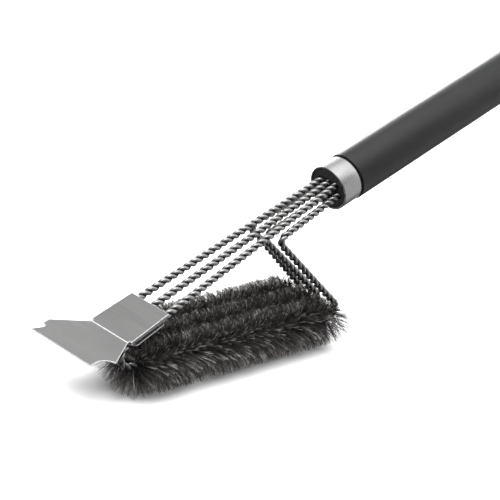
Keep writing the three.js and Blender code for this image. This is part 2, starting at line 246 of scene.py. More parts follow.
def rod(name, start, end, radius, segments=32):
    """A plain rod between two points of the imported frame, used to cut bores."""
    axis = end - start
    place = Matrix.Translation(start) @ axis.to_track_quat("X", "Z").to_matrix().to_4x4()
    profile = [(0, 0), (0, radius), (axis.length, radius), (axis.length, 0)]
    return turned(name, profile, False, segments, place)


# ---- Node materials -----------------------------------------------------------------------------
class Look:
    """A procedural material: one principled shader and the textures that drive it."""

    def __init__(self, name, **values):
        self.material = bpy.data.materials.new(name)
        self.material.use_nodes = True
        self.nodes = self.material.node_tree.nodes
        self.links = self.material.node_tree.links
        self.shader = self.nodes["Principled BSDF"]
        for key, value in values.items():
            self.shader.inputs[key.replace("_", " ")].default_value = value

    def add(self, kind, **settings):
        node = self.nodes.new("ShaderNode" + kind)
        for key, value in settings.items():
            setattr(node, key, value)
        return node

    def link(self, source, target):
        self.links.new(source, target)
        return target

    def place(self, scale, rotation=(0, 0, 0), attribute=None):
        """Coordinates in metres times the scale, from the piece itself or from a named attribute."""
        mapping = self.add("Mapping")
        mapping.inputs["Scale"].default_value = scale
        mapping.inputs["Rotation"].default_value = rotation
        if attribute:
            source = self.add("Attribute", attribute_name=attribute).outputs["Vector"]
        else:
            source = self.add("TexCoord").outputs["Object"]
        self.link(source, mapping.inputs["Vector"])
        return mapping.outputs["Vector"]

    def noise(self, where, detail=3.0, roughness=0.55):
        node = self.add("TexNoise")
        node.inputs["Scale"].default_value = 1.0
        node.inputs["Detail"].default_value = detail
        node.inputs["Roughness"].default_value = roughness
        self.link(where, node.inputs["Vector"])
        return node.outputs["Fac"]

    def spread(self, source, low, high, start=0.3, end=0.7):
        """The source's range from start to end, stretched to run from low to high."""
        node = self.add("MapRange")
        for key, value in zip(("From Min", "From Max", "To Min", "To Max"), (start, end, low, high)):
            node.inputs[key].default_value = value
        self.link(source, node.inputs["Value"])
        return node.outputs["Result"]

    def ramp(self, source, *stops):
        node = self.add("ValToRGB")
        elements = node.color_ramp.elements
        while len(elements) < len(stops):
            elements.new(0.5)
        for element, (position, colour) in zip(elements, stops):
            element.position = position
            element.color = (*colour, 1.0)
        self.link(source, node.inputs["Fac"])
        return node.outputs["Color"]

    def calculate(self, first, second, operation="ADD"):
        """First and second, each a number or a socket, joined by the operation."""
        node = self.add("Math", operation=operation)
        for socket, value in zip(node.inputs, (first, second)):
            if isinstance(value, (int, float)):
                socket.default_value = value
            else:
                self.link(value, socket)
        return node.outputs["Value"]

    def drive(self, name, source):
        self.link(source, self.shader.inputs[name])

    def bump(self, height, distance, strength=1.0):
        node = self.add("Bump")
        node.inputs["Distance"].default_value = distance
        node.inputs["Strength"].default_value = strength
        self.link(height, node.inputs["Height"])
        self.link(node.outputs["Normal"], self.shader.inputs["Normal"])


def wire_look():
    look = Look("twisted_wire", Metallic=1.0)
    drawn = look.noise(look.place((60, 2200, 2200), attribute="drawn"))
    clouds = look.noise(look.place((140, 140, 140)))
    # Painted shade: the base colour runs to near black in the groove between the two strands, by how far
    # each point rises out of it.
    rise = look.add("Attribute", attribute_name="rise").outputs["Fac"]
    groove_shade = look.spread(rise, 0.0, 1.0, 0.30, 0.88)
    drawn_lines_and_groove_shade = look.calculate(look.spread(drawn, 0.84, 1.0), groove_shade, "MULTIPLY")
    look.drive("Base Color", look.ramp(drawn_lines_and_groove_shade, (0.0, (0.012, 0.012, 0.012)), (1.0, (0.66, 0.66, 0.655))))
    look.drive("Roughness", look.spread(clouds, 0.22, 0.30))
    look.bump(drawn, 0.008 * MM, 0.4)
    return look.material


def bristle_look():
    look = Look("bristle_wire", Metallic=0.6)
    tone = look.add("Attribute", attribute_name="tone").outputs["Fac"]
    reach = look.add("Attribute", attribute_name="reach").outputs["Fac"]
    patches = look.noise(look.place((160, 160, 160)), detail=2)
    patchy = look.spread(patches, -0.12, 0.16)
    # Painted shade and light: by the reach attribute the bristles darken towards the core and lighten
    # towards their tips; the tone and the patches vary at random.
    outer = look.spread(reach, 0.0, 0.8, 0.15, 0.9)
    bright = look.calculate(look.calculate(tone, 4.0, "POWER"), outer, "MULTIPLY")
    shade = look.calculate(bright, patchy)
    lift = look.calculate(look.calculate(reach, 3.0, "POWER"), 0.30, "MULTIPLY")
    colour = look.ramp(
        look.calculate(shade, lift),
        (0.0, (0.016, 0.015, 0.015)),
        (0.45, (0.125, 0.116, 0.112)),
        (1.0, (0.80, 0.76, 0.73)),
    )
    look.drive("Base Color", colour)
    look.drive("Roughness", look.spread(tone, 0.30, 0.48, 0, 1))
    return look.material


def sheet_look():
    look = Look("brushed_sheet", Metallic=1.0)
    lines = look.noise(look.place((2600, 26, 2600)), detail=5, roughness=0.7)
    broad = look.noise(look.place((70, 9, 70)), detail=2)
    grey = look.calculate(look.spread(lines, 0.0, 0.75), look.spread(broad, 0.0, 0.25))
    look.drive("Base Color", look.ramp(grey, (0.0, (0.33, 0.33, 0.328)), (1.0, (0.49, 0.49, 0.486))))
    look.drive("Roughness", look.spread(lines, 0.34, 0.50))
    look.bump(lines, 0.012 * MM, 0.6)
    return look.material


def painted_highlight_edge_look():
    # Painted highlight: the rounded folds and cut edges are a lighter, half-metallic copy of the sheet
    # steel, varied by a noise of nicks.
    look = Look("painted_highlight_edge", Metallic=0.35)
    highlight_nicks = look.noise(look.place((700, 700, 700)), detail=4)
    look.drive("Base Color", look.ramp(highlight_nicks, (0.3, (0.50, 0.50, 0.495)), (0.6, (0.68, 0.68, 0.675))))
    look.drive("Roughness", look.spread(highlight_nicks, 0.22, 0.36))
    return look.material


def turned_steel_look(name, dark, light, rough):
    """Steel brushed round about the handle's axis."""
    look = Look(name, Metallic=1.0)
    around = look.place((5200, 36, 36), rotation=(0, HANDLE_TILT, 0))
    lines = look.noise(around, detail=5, roughness=0.7)
    stains = look.noise(look.place((120, 120, 120)), detail=2)
    grey = look.calculate(look.spread(lines, 0.0, 0.8), look.spread(stains, 0.0, 0.2))
    look.drive("Base Color", look.ramp(grey, (0.0, (dark,) * 3), (1.0, (light,) * 3)))
    look.drive("Roughness", look.spread(lines, rough, rough + 0.12))
    look.bump(lines, 0.01 * MM, 0.5)
    return look.material


def grip_look():
    look = Look("satin_grip", Specular_IOR_Level=0.4, Coat_Weight=0.4, Coat_Roughness=0.25)
    grain = look.noise(look.place((4200, 4200, 4200)), detail=3)
    handling = look.noise(look.place((38, 38, 38)), detail=4)
    tint = look.calculate(look.spread(grain, 0.0, 0.6), look.spread(handling, 0.0, 0.4))
    colour = look.ramp(tint, (0.0, (0.006, 0.0062, 0.0065)), (1.0, (0.014, 0.0143, 0.0148)))
    look.drive("Base Color", colour)
    look.drive("Roughness", look.spread(handling, 0.36, 0.46))
    look.bump(grain, 0.05 * MM, 0.5)
    return look.material


def moulded_look(name, level, rough, scale):
    look = Look(name)
    grain = look.noise(look.place((scale,) * 3), detail=4)
    dust = look.noise(look.place((260, 260, 260)), detail=3)
    tint = look.calculate(look.spread(grain, 0.0, 0.5), look.spread(dust, 0.0, 0.5))
    look.drive("Base Color", look.ramp(tint, (0.0, (level * 0.7,) * 3), (1.0, (level * 1.4,) * 3)))
    look.drive("Roughness", look.spread(dust, rough, rough + 0.15))
    look.bump(grain, 0.06 * MM, 0.6)
    return look.material


def floor_look():
    look = Look("pale_floor", Roughness=0.9, Specular_IOR_Level=0.1)
    wash = look.noise(look.place((2, 2, 2)))
    look.drive("Base Color", look.ramp(wash, (0.3, (0.92, 0.92, 0.92)), (0.7, (0.94, 0.94, 0.94))))
    return look.material


# ---- Wire routes --------------------------------------------------------------------------------
ARC_STEPS = 24


def stem_point(side, x):
    y = side * (STEM_EXIT[0] - x * STEM_FAN)
    return from_handle(x, y, STEM_EXIT[1] + x * math.tan(STEM_DROP))


def bend(a, b, c, radius):
    """Points of a round bend that blends the corner at b between the lines a-b and b-c."""
    into = (b - a).normalized()
    out = (c - b).normalized()
    turn = into.angle(out)
    start = b - into * radius * math.tan(turn / 2)
    inward = (out - into * into.dot(out)).normalized()
    centre = start + inward * radius
    angles = [turn * i / ARC_STEPS for i in range(ARC_STEPS + 1)]
    return [centre - inward * radius * math.cos(t) + into * radius * math.sin(t) for t in angles]


def front_turn(side):
    """The half-turn from the stem's end at the crease down onto the core's line."""
    crease = stem_point(side, CREASE_AT)
    slope = HANDLE_TILT + STEM_DROP
    radius = (crease.z - BRISTLE_RADIUS) / (1 + math.cos(slope))
    points = []
    for i in range(2 * ARC_STEPS + 1):
        share = i / (2 * ARC_STEPS)
        heading = math.pi + slope + (math.pi - slope) * share
        x = crease.x + radius * (math.sin(heading) + math.sin(slope))
        z = crease.z - radius * (math.cos(heading) + math.cos(slope))
        points.append(Vector((x, crease.y + (side * CORE_SPACING - crease.y) * share, z)))
    return points


def strut_top(side):
    height = STRUT_TOP.z if side else MIDDLE_STRUT_TOP_Z
    return Vector((NOSE_X + STRUT_TOP.x, side * STRUT_TOP.y, height))


def rear_bend(side):
    top = strut_top(side)
    start = NOSE_X + CORE_REAR
    corner_x = start
    for _ in range(20):
        turn = math.pi - math.atan2(top.z - BRISTLE_RADIUS, corner_x - top.x)
        corner_x = start + REAR_BEND_RADIUS * math.tan(turn / 2)
    front = Vector((start - 0.1, side * CORE_SPACING, BRISTLE_RADIUS))
    return bend(front, Vector((corner_x, front.y, front.z)), top, REAR_BEND_RADIUS)


def wire_route(side):
    """The centre line from the handle and back, with the marks where the core starts and ends."""
    run_z = RUN_EXIT[1] if side else MIDDLE_RUN_Z
    entry = from_handle(-1 * MM, side * RUN_EXIT[0], run_z)
    front = front_turn(side)
    rear = rear_bend(side)
    head = [
        from_handle(WIRE_END, side * STEM_EXIT[0], STEM_EXIT[1]),
        from_handle(1 * MM, side * STEM_EXIT[0], STEM_EXIT[1]),
        stem_point(side, -1 * MM),
    ]
    top = bend(rear[-1], strut_top(side), entry, STRUT_TOP_RADIUS)
    tail = [
        entry,
        from_handle(1 * MM, side * RUN_EXIT[0], run_z),
        from_handle(WIRE_END, side * RUN_EXIT[0], run_z),
    ]
    points = head + front + rear + top + tail
    travel = np.concatenate([[0], np.cumsum([(b - a).length for a, b in zip(points, points[1:])])])
    core_start = len(head) + len(front) - 1
    rear_start = core_start + 1
    marks = {
        "core": travel[core_start],
        "rear": travel[rear_start],
        "strut": travel[rear_start + len(rear) - 1],
        "run": travel[rear_start + len(rear) + len(top) - 1],
    }
    return points, marks


# ---- Twisted strands ----------------------------------------------------------------------------
STATION_STEP = 0.6 * MM
STRAND_RADIUS = 1.45 * MM
STRAND_OFFSET = 1.05 * MM  # the two strands are pressed into each other
STRAND_SIDES = 16
STEM_PITCH = 10.4 * MM
CORE_PITCH = 13.0 * MM
PITCH_BLEND = 12 * MM  # length over which one pitch runs into the other


class Line:
    """A centre line at even stations, with frames that don't spin and the strands' twist angle."""

    def __init__(self, points, marks, phase):
        travel = np.concatenate([[0], np.cumsum([(b - a).length for a, b in zip(points, points[1:])])])
        count = int(travel[-1] / STATION_STEP) + 1
        self.at = np.linspace(0, travel[-1], count)
        raw = np.array([tuple(p) for p in points])
        even = np.stack([np.interp(self.at, travel, raw[:, k]) for k in range(3)], 1)
        self.points = self.eased(even)
        self.marks = marks
        self.tangents = unit(np.gradient(self.points, axis=0))
        self.normals = carried(self.tangents, np.array([0.0, 1.0, 0.0]))
        self.binormals = np.cross(self.tangents, self.normals)
        self.twist = phase + self.turns()

    @staticmethod
    def eased(points):
        kernel = np.array([1, 2, 3, 2, 1]) / 9
        padded = np.pad(points, ((2, 2), (0, 0)), "edge")
        return np.stack([np.convolve(padded[:, k], kernel, "valid") for k in range(3)], 1)

    def turns(self):
        """Twist angle along the line: the core and the strut have a longer pitch than the rest."""
        into = np.clip((self.at - self.marks["core"]) / PITCH_BLEND, 0, 1)
        out = np.clip((self.marks["run"] - self.at) / PITCH_BLEND, 0, 1)
        rate = 2 * math.pi * (1 / STEM_PITCH + (1 / CORE_PITCH - 1 / STEM_PITCH) * into * out)
        return np.cumsum(rate * np.gradient(self.at))

    def between(self, start, end):
        return np.nonzero((self.at >= start) & (self.at <= end))[0]


def unit(vectors):
    return vectors / np.linalg.norm(vectors, axis=-1, keepdims=True)


def carried(tangents, first):
    """Normals that follow the tangents without spinning about them."""
    normals = np.empty_like(tangents)
    normal = first
    for i, tangent in enumerate(tangents):
        normal = normal - tangent * np.dot(normal, tangent)
        normal = normal / np.linalg.norm(normal)
        normals[i] = normal
    return normals


def ring_about(first, second, angles):
    """Unit vectors at the angles from each first axis towards its second."""
    return np.cos(angles)[None, :, None] * first[:, None] + np.sin(angles)[None, :, None] * second[:, None]


def strand(line, offset_angle):
    """Vertices, faces and drawn-metal coordinates of one strand wound about the line, and how far
    each vertex rises out of the groove between the strands, from 0 to 1. The wire's material
    paints shade into the groove from this rise."""
    angle = line.twist + offset_angle
    away = np.cos(angle)[:, None] * line.normals + np.sin(angle)[:, None] * line.binormals
    centres = line.points + STRAND_OFFSET * away
    tangents = unit(np.gradient(centres, axis=0))
    first = carried(tangents, away[0])
    second = np.cross(tangents, first)
    around = 2 * math.pi * np.arange(STRAND_SIDES) / STRAND_SIDES
    ring = ring_about(first, second, around)
    vertices = centres[:, None] + STRAND_RADIUS * ring
    groove = math.sqrt(STRAND_RADIUS**2 - STRAND_OFFSET**2)
    crest = STRAND_RADIUS + STRAND_OFFSET
    rise = (np.linalg.norm(vertices - line.points[:, None], axis=2) - groove) / (crest - groove)
    count = len(centres)
    drawn = np.zeros((count, STRAND_SIDES, 3))
    drawn[:, :, 0] = line.at[:, None]
    drawn[:, :, 1] = STRAND_RADIUS * np.cos(around)
    drawn[:, :, 2] = STRAND_RADIUS * np.sin(around)
    faces = []
    for i in range(count - 1):
        here, there = i * STRAND_SIDES, (i + 1) * STRAND_SIDES
        for k in range(STRAND_SIDES):
            n = (k + 1) % STRAND_SIDES
            faces.append([here + k, here + n, there + n, there + k])
    faces.append(list(range(STRAND_SIDES))[::-1])
    faces.append(list(range((count - 1) * STRAND_SIDES, count * STRAND_SIDES)))
    return vertices.reshape(-1, 3), faces, drawn.reshape(-1, 3), np.clip(rise, 0, 1).ravel()


def add_wire(name, line, material):
    first, faces, drawn, rise = strand(line, 0)
    second, more_faces, more_drawn, more_rise = strand(line, math.pi)
    shifted = [[v + len(first) for v in face] for face in more_faces]
    mesh = mesh_from("strands_" + name, np.concatenate([first, second]), faces + shifted)
    attribute = mesh.attributes.new("drawn", "FLOAT_VECTOR", "POINT")
    attribute.data.foreach_set("vector", np.concatenate([drawn, more_drawn]).ravel())
    attribute = mesh.attributes.new("rise", "FLOAT", "POINT")
    attribute.data.foreach_set("value", np.concatenate([rise, more_rise]))
    smooth(mesh, 60)
    piece = new_object("strands_" + name, mesh)
    finish_piece(piece, [material], "brush", "twisted_wire", "wire_" + name)


# ---- Bristles -----------------------------------------------------------------------------------
CLUMP_COUNT = 5600
CLUMP_SIZE = 2
BRISTLE_COUNT = CLUMP_COUNT * CLUMP_SIZE  # those along the core
BRISTLE_WIRE = 0.10 * MM  # radius
BRISTLE_SIDES = 3
BRISTLE_SHARES = np.array((0.0, 0.5, 1.0))  # places of a bristle's rings along its length
BRISTLE_ROOT = 0.4 * MM  # from the core's line to where a bristle starts
FAN_COUNT = 60  # sparse bristles round the rear bend
FAN_START = 1.5 * MM  # ahead of the bend
FAN_RUN = 7 * MM  # up the strut
FAN_LEAN = 0.45
BURST_COUNT = 150  # bristles that fan forward from the front end
BURST_DEPTH = 6  # stations
BURST_LEAN = (-1.1, -0.1)
# Painted light: the burst bristles out in front take only the lighter tones.
BURST_PAINTED_LIGHT_TONE = (0.55, 1.0)
SPREAD = 0.40  # radians about the slit between the strands
LEAN = 0.07
CLUMP_SPREAD = 0.02
CURL = 0.25 * MM
SHORTENING = 0.86  # of a bristle's length, each time it is found to meet the scraper
SHORTENING_ROUNDS = 12
SHORTEST = 0.3  # of a bristle's length, below which it is left out
FLOOR_GAP = 0.05 * MM
CLAMP_MARGIN = 2 * MM
BLADE_ROOM = 1.5 * MM  # under the blade
BLADE_ROOT = 16 * MM  # half of the blade's width at the crease, rounded up


def trimmed_length(out):
    """Length of a bristle that leaves its core along out: full below and beside, shorter above."""
    across = np.linalg.norm(out[:, :2], axis=1) / BRISTLE_RADIUS
    height = out[:, 2] / np.where(out[:, 2] > 0, BRISTLE_TOP, BRISTLE_RADIUS)
    return 1 / np.hypot(across, height)


def clamp_space():
    """Places of the clamp frame: origin on the crease under the top sheet, +X up the stems."""
    slope = HANDLE_TILT + STEM_DROP
    lift = WIRE_RADIUS + GAP
    crease = stem_point(0, CREASE_AT)
    origin = Vector((crease.x - lift * math.sin(slope), 0, crease.z + lift * math.cos(slope)))
    return Matrix.Translation(origin) @ Matrix.Rotation(-slope, 4, "Y")


def under_roof(points):
    """True where a point is clear of the scraper: below the back plate or blade, or beside them."""
    inverse = np.array(clamp_space().inverted())
    local = points @ inverse[:3, :3].T + inverse[:3, 3]
    x, y, z = local[..., 0], local[..., 1], local[..., 2]
    half = np.abs(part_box("clamp_back_plate")[1].y)
    underside = -2 * WIRE_RADIUS - 3 * GAP - SHEET
    in_clamp = (x > 0) & (x < CLAMP_LENGTH) & (np.abs(y) < half + CLAMP_MARGIN) & (z > underside)
    flare = BLADE_ROOT + np.clip(-x, 0, None)
    in_notch = np.hypot(x - NOTCH[0], y - NOTCH[1]) < NOTCH[2]
    in_blade = (x <= 0) & (np.abs(y) < flare) & (z > -x * math.tan(BLADE_LIFT) - BLADE_ROOM)
    return ~(in_clamp | (in_blade & ~in_notch))


def clear_of_strut(points, side):
    """True where a point is clear of the strut that rises through the brush's rear."""
    foot = np.array(rear_bend(side)[-1])
    along = np.array(strut_top(side)) - foot
    share = np.clip((points - foot) @ along / (along @ along), 0, 1)
    return np.linalg.norm(points - foot - share[..., None] * along, axis=-1) > WIRE_RADIUS


def bristle_bases(line, front, rng):
    """Stations of the clumps along the core, then of the burst in front and the fan at the rear."""
    core = line.between(line.marks["core"], line.marks["rear"] - FAN_START)
    core = core[line.points[core, 0] > front]
    fan = line.between(line.marks["rear"] - FAN_START, line.marks["strut"] + FAN_RUN)
    choices = [(core, CLUMP_COUNT), (core[:BURST_DEPTH], BURST_COUNT), (fan, FAN_COUNT)]
    return np.concatenate([rng.choice(stations, count) for stations, count in choices])


class Tuft:
    """All bristles of one brush: where each starts, where it points, its length and its curl."""

    def __init__(self, line, front, rng):
        leaders = bristle_bases(line, front, rng)
        self.leader_count = len(leaders)
        sizes = np.where(np.arange(len(leaders)) < CLUMP_COUNT, CLUMP_SIZE, 1)
        self.member = np.repeat(np.arange(len(leaders)), sizes)
        base = leaders[self.member]
        self.count = len(base)
        self.burst = slice(BRISTLE_COUNT, BRISTLE_COUNT + BURST_COUNT)
        fan = slice(BRISTLE_COUNT + BURST_COUNT, self.count)
        angle = line.twist[base] + self.swing(rng) + rng.normal(0, CLUMP_SPREAD, self.count)
        out = np.cos(angle)[:, None] * line.normals[base] + np.sin(angle)[:, None] * line.binormals[base]
        lean = rng.normal(0, LEAN, len(leaders))[self.member] + rng.normal(0, CLUMP_SPREAD, self.count)
        lean[self.burst] = rng.uniform(*BURST_LEAN, BURST_COUNT)
        lean[fan] = rng.normal(0, FAN_LEAN, FAN_COUNT)
        self.start = line.points[base] + out * BRISTLE_ROOT
        self.direction = unit(out + line.tangents[base] * lean[:, None])
        self.length = trimmed_length(unit(out)) * rng.uniform(0.86, 1.0, self.count)
        self.length[fan] = rng.uniform(0.7, 1.0, FAN_COUNT) * BRISTLE_RADIUS
        curl = rng.normal(0, 1, (self.count, 3)) * CURL
        self.curl = curl - self.direction * np.sum(curl * self.direction, 1, keepdims=True)

    def swing(self, rng):
        """Angle from the first strand: either side of the slit, and all round in the fan."""
        flip = np.where(rng.random(self.leader_count) < 0.5, 0.5, -0.5) * math.pi
        swing = flip + rng.normal(0, SPREAD, self.leader_count)
        swing[-FAN_COUNT:] = rng.uniform(-math.pi, math.pi, FAN_COUNT)
        return swing[self.member]

    def spines(self, scale):
        """Centre points of the bristles, each cut to its share of the full length."""
        reach = self.length * scale
        straight = self.direction[:, None] * (reach[:, None] * BRISTLE_SHARES)[..., None]
        bent = self.curl[:, None] * (scale[:, None] * BRISTLE_SHARES**2)[..., None]
        return self.start[:, None] + straight + bent

    def clear_spines(self, side):
        """Centre points once the bristles are cut short of the scraper, and which of them are kept."""
        scale = np.ones(self.count)
        for _ in range(SHORTENING_ROUNDS):
            blocked = ~under_roof(self.spines(scale)[:, 1:]).all(1)
            scale[blocked] *= SHORTENING
        spines = self.spines(scale)
        keep = clear_of_strut(spines[:, 1:], side).all(1) & (scale > SHORTEST)
        return spines[keep], keep

    def tones(self, rng):
        shade = rng.random(self.leader_count)[self.member]
        # The burst's lighter tones are painted light.
        shade[self.burst] = rng.uniform(*BURST_PAINTED_LIGHT_TONE, BURST_COUNT)
        return shade


def bristle_tubes(spines, direction, rng):
    """Vertices of the rings along each spine, none of them below the floor."""
    count = len(spines)
    sideways = unit(np.cross(direction, rng.normal(0, 1, (count, 3))))
    upright = np.cross(direction, sideways)
    ring = ring_about(sideways, upright, 2 * math.pi * np.arange(BRISTLE_SIDES) / BRISTLE_SIDES)
    thickness = BRISTLE_WIRE * rng.uniform(0.8, 1.15, count)
    rings = spines[:, :, None] + ring[:, None] * thickness[:, None, None, None]
    rings[..., 2] = np.maximum(rings[..., 2], FLOOR_GAP)
    return rings.reshape(-1, 3)


def tube_faces(count, steps, sides):
    """Faces of so many closed tubes, each of so many rings."""
    each = steps * sides
    pattern = []
    for i in range(steps - 1):
        for k in range(sides):
            n = (k + 1) % sides
            here, there = i * sides, (i + 1) * sides
            pattern.append((here + k, here + n, there + n, there + k))
    first = (np.arange(count) * each)[:, None]
    quads = np.array(pattern)[None] + first[..., None]
    bottom = np.arange(sides)[::-1][None] + first
    top = np.arange(each - sides, each)[None] + first
    return quads.reshape(-1, 4).tolist() + bottom.tolist() + top.tolist()


def add_bristles(name, side, line, material):
    rng = np.random.default_rng(20 + side)
    tuft = Tuft(line, NOSE_X + BRISTLE_FRONTS[name], rng)
    spines, keep = tuft.clear_spines(side)
    steps = len(BRISTLE_SHARES)
    vertices = bristle_tubes(spines, tuft.direction[keep], rng)
    mesh = mesh_from("bristle_wires_" + name, vertices, tube_faces(len(spines), steps, BRISTLE_SIDES))
    tone = mesh.attributes.new("tone", "FLOAT", "POINT")
    tone.data.foreach_set("value", np.repeat(tuft.tones(rng)[keep], steps * BRISTLE_SIDES))
    reach = mesh.attributes.new("reach", "FLOAT", "POINT")
    reach.data.foreach_set("value", np.tile(np.repeat(BRISTLE_SHARES, BRISTLE_SIDES), len(spines)))
    smooth(mesh, 80)
    piece = new_object("bristle_wires_" + name, mesh)
    finish_piece(piece, [material], "brush", "bristles", "bristles_" + name)


# ---- Sheet steel --------------------------------------------------------------------------------
FOLD_STEP = 0.35 * MM  # longest of the short steps beside the fold
BLADE_EDGE = 0.33 * MM
BACK_PLATE_EDGE = 0.25 * MM


def merge_fold(piece):
    """Draws the short steps on both sides of the fold together, so that the fold is one edge."""
    work = bmesh.new()
    work.from_mesh(piece.data)
    bmesh.ops.remove_doubles(work, verts=work.verts, dist=FOLD_STEP)
    work.to_mesh(piece.data)
    work.free()


def add_sheet(name, node, width, sheet, edge):
    """The CAD node's shape with its folds and cut edges rounded, the rounds given a painted highlight."""
    piece = new_object(name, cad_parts[node].data.copy())
    piece.data.materials.clear()
    piece.data.materials.append(sheet)
    piece.data.materials.append(edge)
    merge_fold(piece)
    soften(piece, width, angle=8, segments=3, edge_material=1)
    for face in piece.data.polygons:
        face.use_smooth = face.material_index == 1
    finish_piece(piece, [sheet, edge], "brush", "sheet_steel", node)


# ---- Handle -------------------------------------------------------------------------------------
COLLAR_RADIUS = 15.25 * MM
COLLAR_LENGTH = 15.2 * MM
COLLAR_WALL = 1.2 * MM
GASKET_LENGTH = 0.9 * MM
GRIP_RADIUS = 15.85 * MM
GRIP_WALL = 1.8 * MM
GRIP_END = 207 * MM
REAR_COLLAR_LENGTH = 8 * MM
TUBE_RADIUS = 13.7 * MM
TUBE_WALL = 1.2 * MM
CAP_PLUG_LENGTH = 22 * MM
CAP_FLANGE = 4 * MM
LUG_HALF = 2.6 * MM
LUG_RADIUS = 6 * MM
EYE_DISTANCE = 14 * MM
EYELET_RADIUS = 3.1 * MM
EYELET_BORE = 2.2 * MM
PIN_RADIUS = 1.5 * MM
GRIP_START = COLLAR_LENGTH + GASKET_LENGTH + 2 * GAP
REAR_COLLAR_START = GRIP_END + GAP
CAP_START = REAR_COLLAR_START + REAR_COLLAR_LENGTH + GAP
EYE_AT = CAP_START + EYE_DISTANCE
SCREW_AT = REAR_COLLAR_START + REAR_COLLAR_LENGTH / 2
SCREW_BORE = (-20 * MM, -4 * MM)  # from below the collar to inside the plug
DISC_FACE = 0.5 * MM
DISC_BACK = 2.3 * MM
DISC_PLUG_END = 16 * MM


def screw_bore():
    low, high = (from_handle(SCREW_AT, 0, z) for z in SCREW_BORE)
    return rod("bore", low, high, PIN_RADIUS + GAP)


def add_collars(steel, rubber):
    bore = COLLAR_RADIUS - COLLAR_WALL
    front = sleeve("collar_front", 0, COLLAR_LENGTH, COLLAR_RADIUS, bore)
    finish_piece(front, [steel], "brush", "collar_steel", "front_collar")
    start = REAR_COLLAR_START
    rear = sleeve("collar_rear", start, start + REAR_COLLAR_LENGTH, COLLAR_RADIUS, bore)
    combine(rear, [screw_bore()], "DIFFERENCE")
    smooth(rear.data)
    finish_piece(rear, [steel], "brush", "collar_steel", "rear_collar")
    start = COLLAR_LENGTH + GAP
    outer = COLLAR_RADIUS - 0.6 * MM
    seal = sleeve("joint_seal", start, start + GASKET_LENGTH, outer, TUBE_RADIUS + GAP, 0.2 * MM)
    finish_piece(seal, [rubber], "brush", "black_rubber", "collar_gasket")


def add_grip(plastic):
    inner = GRIP_RADIUS - GRIP_WALL
    grip = sleeve("grip_sleeve", GRIP_START, GRIP_END, GRIP_RADIUS, inner, 0.9 * MM)
    finish_piece(grip, [plastic], "brush", "grip_plastic", "grip_shell")


def add_bushing(plastic):
    """The black disc in the nose, with a bore for each of the six wire ends."""
    flange = COLLAR_RADIUS - COLLAR_WALL - GAP
    plug = TUBE_RADIUS - TUBE_WALL - GAP
    profile = [
        (DISC_FACE, 0),
        (DISC_FACE, flange),
        (DISC_BACK, flange),
        (DISC_BACK, plug),
        (DISC_PLUG_END, plug),
        (DISC_PLUG_END, 0),
    ]
    piece = turned("nose_disc", rounded(profile, 0.5 * MM, closed=False), False)
    bores = []
    for side in SIDES.values():
        run_z = RUN_EXIT[1] if side else MIDDLE_RUN_Z
        for y, z in ((side * STEM_EXIT[0], STEM_EXIT[1]), (side * RUN_EXIT[0], run_z)):
            start, end = from_handle(-5 * MM, y, z), from_handle(20 * MM, y, z)
            bores.append(rod("bore", start, end, WIRE_RADIUS + GAP))
    combine(piece, bores, "DIFFERENCE")
    smooth(piece.data)
    finish_piece(piece, [plastic], "brush", "black_plastic", "nose_bushing")


def lug_shape():
    """The flat tongue behind the cap, with a round end about the eye."""
    outline = [(CAP_START + 1 * MM, -LUG_RADIUS), (EYE_AT, -LUG_RADIUS)]
    for i in range(1, 24):
        angle = -math.pi / 2 + math.pi * i / 24
        outline.append((EYE_AT + LUG_RADIUS * math.cos(angle), LUG_RADIUS * math.sin(angle)))
    outline += [(EYE_AT, LUG_RADIUS), (CAP_START + 1 * MM, LUG_RADIUS)]
    count = len(outline)
    vertices = [from_handle(x, side * LUG_HALF, z) for side in (-1, 1) for x, z in outline]
    faces = [list(range(count)), list(range(count, 2 * count))[::-1]]
    for i in range(count):
        n = (i + 1) % count
        faces.append([i, n, count + n, count + i])
    piece = new_object("lug", mesh_from("lug", vertices, faces))
    face_outward(piece)
    return piece


def add_end_cap(plastic):
    plug = TUBE_RADIUS - TUBE_WALL - GAP
    flange = GRIP_RADIUS - 0.4 * MM
    shoulder = CAP_START + CAP_FLANGE
    profile = [(CAP_START - CAP_PLUG_LENGTH, 0), (CAP_START - CAP_PLUG_LENGTH, plug)]
    depth, width = 2 * MM, 4 * MM  # of the shoulder's round edge
    profile += [(CAP_START, plug), (CAP_START, flange), (shoulder - depth, flange)]
    for i in range(1, 9):
        angle = math.pi / 2 * i / 8
        radius = flange - width + width * math.cos(angle)
        profile.append((shoulder - depth + depth * math.sin(angle), radius))
    profile.append((shoulder, 0))
    piece = turned("cap_moulding", profile, False)
    combine(piece, [lug_shape()], "UNION")
    near, far = (from_handle(EYE_AT, y, 0) for y in (-9 * MM, 9 * MM))
    eye = rod("bore", near, far, EYELET_RADIUS + GAP)
    combine(piece, [eye, screw_bore()], "DIFFERENCE")
    smooth(piece.data, 30)
    finish_piece(piece, [plastic], "brush", "black_plastic", "end_cap")


